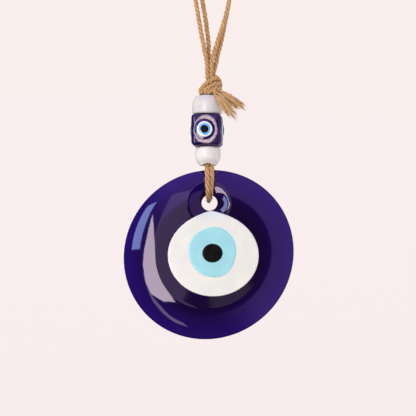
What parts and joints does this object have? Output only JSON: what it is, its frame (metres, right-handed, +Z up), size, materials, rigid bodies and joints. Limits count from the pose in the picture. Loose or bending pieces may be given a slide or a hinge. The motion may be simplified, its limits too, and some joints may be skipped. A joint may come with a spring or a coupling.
{
  "type": "hanging evil eye ornament",
  "caption": "Round blue glass disc with a poured white, light blue and black eye, slung on knotted jute twine through a cube bead and white beads.",
  "frame": {"origin": "where the top of a hook touches the inside of the loop's crown", "axes": "+Z up; the ornament hangs in -Z and the eye looks along -Y; +X is on the right of the face"},
  "size_m": [0.081, 0.0175, 0.1927],
  "materials": {
    "jute": "twisted natural jute twine, matt and hairy",
    "cobalt_glass": "deep cobalt blue glass, polished by the fire",
    "eye_white_glass": "opaque white glass, glossy",
    "light_blue_glass": "opaque light blue glass, glossy",
    "bead_blue_glass": "opaque bright blue glass, glossy",
    "black_glass": "opaque black glass, glossy",
    "bead_white": "opaque milky white glass, satin"
  },
  "bodies": {
    "hanging_loop": {"loop_turn_front": "jute", "loop_turn_back": "jute"},
    "neck": {"neck_strands": "jute"},
    "knotted_stem": {"knot": "jute", "tail_upper": "jute", "tail_lower": "jute", "bead_strands": "jute"},
    "upper_bead": {"upper_bead": "bead_white"},
    "cube_bead": {"cube_bead": "cobalt_glass", "front_eye_white": "eye_white_glass", "front_eye_blue": "bead_blue_glass", "front_eye_pupil": "black_glass", "right_eye_white": "eye_white_glass", "right_eye_blue": "bead_blue_glass", "right_eye_pupil": "black_glass", "back_eye_white": "eye_white_glass", "back_eye_blue": "bead_blue_glass", "back_eye_pupil": "black_glass", "left_eye_white": "eye_white_glass", "left_eye_blue": "bead_blue_glass", "left_eye_pupil": "black_glass"},
    "lower_bead": {"lower_bead": "bead_white"},
    "sling": {"sling_strand_left": "jute", "sling_strand_right": "jute"},
    "eye_disc": {"glass_disc": "cobalt_glass", "white_eye": "eye_white_glass", "light_blue_iris": "light_blue_glass", "black_pupil": "black_glass"}
  },
  "joints": [
    {"name": "side_swing", "type": "hinge", "parent": "hanging_loop", "child": "neck", "pos_m": [0.0005, 0, -0.0545], "axis": [0, 1, 0], "range_deg": [-30, 30]},
    {"name": "fore_aft_swing", "type": "hinge", "parent": "neck", "child": "knotted_stem", "pos_m": [0.0005, 0, -0.0633], "axis": [1, 0, 0], "range_deg": [-30, 30]},
    {"name": "upper_bead_turn", "type": "hinge", "parent": "knotted_stem", "child": "upper_bead", "pos_m": [-0.0009, 0, -0.0785], "axis": [0, 0, 1], "continuous": true},
    {"name": "cube_bead_turn", "type": "hinge", "parent": "knotted_stem", "child": "cube_bead", "pos_m": [-0.0009, 0, -0.09075], "axis": [0, 0, 1], "continuous": true},
    {"name": "lower_bead_turn", "type": "hinge", "parent": "knotted_stem", "child": "lower_bead", "pos_m": [-0.0006, 0, -0.1031], "axis": [0, 0, 1], "continuous": true},
    {"name": "twine_twist", "type": "hinge", "parent": "knotted_stem", "child": "sling", "pos_m": [0, 0, -0.1071], "axis": [0, 0, 1], "range_deg": [-160, 160]},
    {"name": "disc_swing", "type": "hinge", "parent": "sling", "child": "eye_disc", "pos_m": [0.0002, 0, -0.1254], "axis": [0, 1, 0], "range_deg": [-10, 10]}
  ]
}
